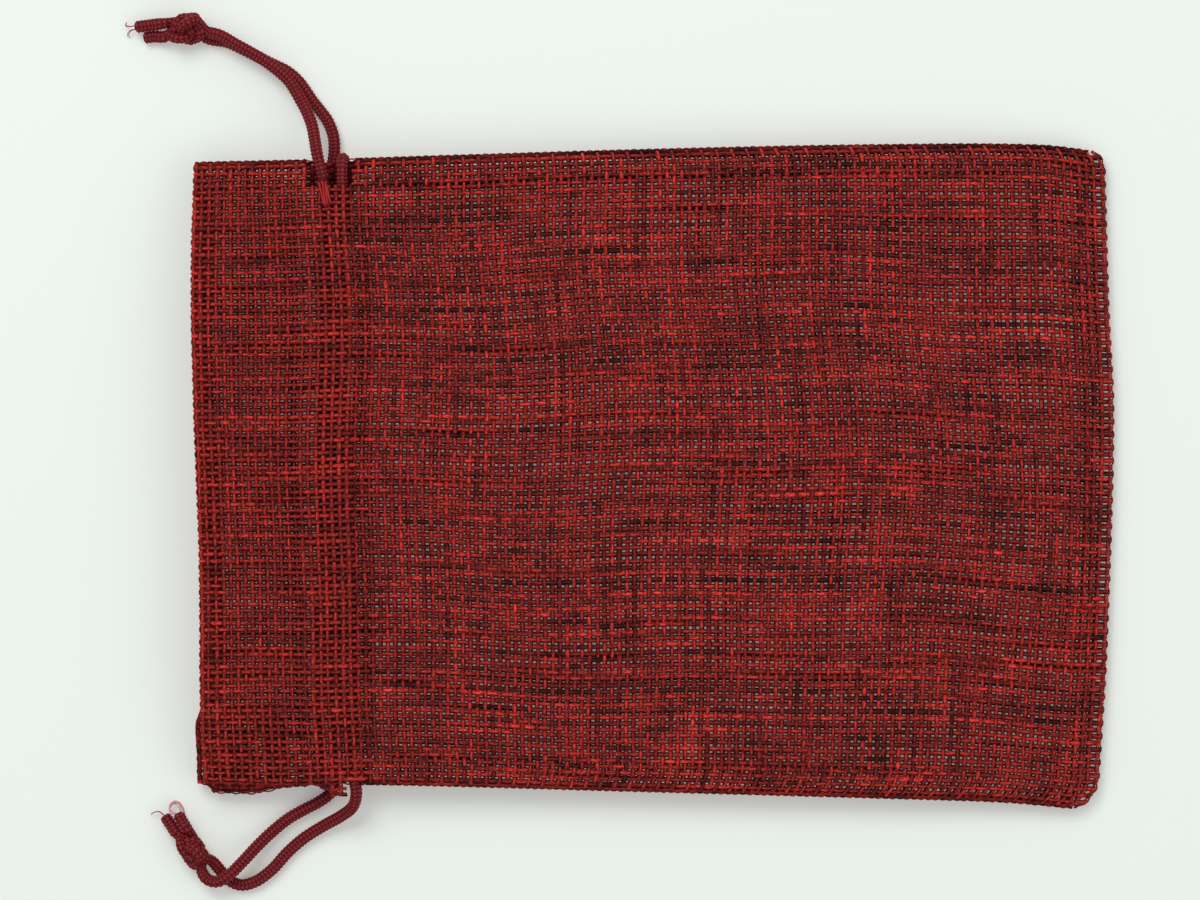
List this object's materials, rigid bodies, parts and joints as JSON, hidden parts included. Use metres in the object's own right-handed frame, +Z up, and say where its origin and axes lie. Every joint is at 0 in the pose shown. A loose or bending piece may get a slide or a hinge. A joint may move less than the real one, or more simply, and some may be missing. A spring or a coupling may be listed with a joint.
{
  "type": "drawstring gift pouch",
  "caption": "Flat wine-red pouch of coarse woven cloth with a folded base, a cord casing under a short ruffle, and knotted drawcords.",
  "frame": {"origin": "middle of the pouch's footprint, without the free cords, on the surface it lies on", "axes": "+X from the mouth to the folded base, +Y towards the upper side seam, +Z up off the table; the pouch lies on its back panel"},
  "size_m": [0.1915, 0.1718, 0.0145],
  "materials": {
    "woven_cloth": "matte",
    "hem_cloth": "matte",
    "sewing_thread": "matte",
    "drawcord": "satin"
  },
  "bodies": {
    "pouch": {"front_panel": "woven_cloth", "front_hem": "hem_cloth", "front_mouth_fold": "woven_cloth", "front_stitch_mouth": "sewing_thread", "front_stitch_body": "sewing_thread", "back_panel": "woven_cloth", "back_hem": "hem_cloth", "back_mouth_fold": "woven_cloth", "back_stitch_mouth": "sewing_thread", "back_stitch_body": "sewing_thread", "base_fold": "woven_cloth", "upper_seam_header": "hem_cloth", "upper_seam_body": "hem_cloth", "upper_overlock_header": "sewing_thread", "upper_overlock_body": "sewing_thread", "lower_seam_header": "hem_cloth", "lower_seam_body": "hem_cloth", "lower_overlock_header": "sewing_thread", "lower_overlock_body": "sewing_thread", "exit_tack": "sewing_thread"},
    "upper_drawcord": {"upper_drawcord_run": "drawcord", "upper_strand_front": "drawcord", "upper_strand_back": "drawcord", "upper_knot": "drawcord", "upper_end_front": "drawcord", "upper_end_back": "drawcord"},
    "lower_drawcord": {"lower_drawcord_run": "drawcord", "lower_strand_front": "drawcord", "lower_strand_back": "drawcord", "lower_knot": "drawcord", "lower_end_front": "drawcord", "lower_end_back": "drawcord"}
  },
  "joints": [
    {"name": "upper_pull", "type": "slide", "parent": "pouch", "child": "upper_drawcord", "axis": [0, 1, 0], "range_m": [0, 0.003]},
    {"name": "lower_pull", "type": "slide", "parent": "pouch", "child": "lower_drawcord", "axis": [0, -1, 0], "range_m": [0, 0.003]}
  ]
}
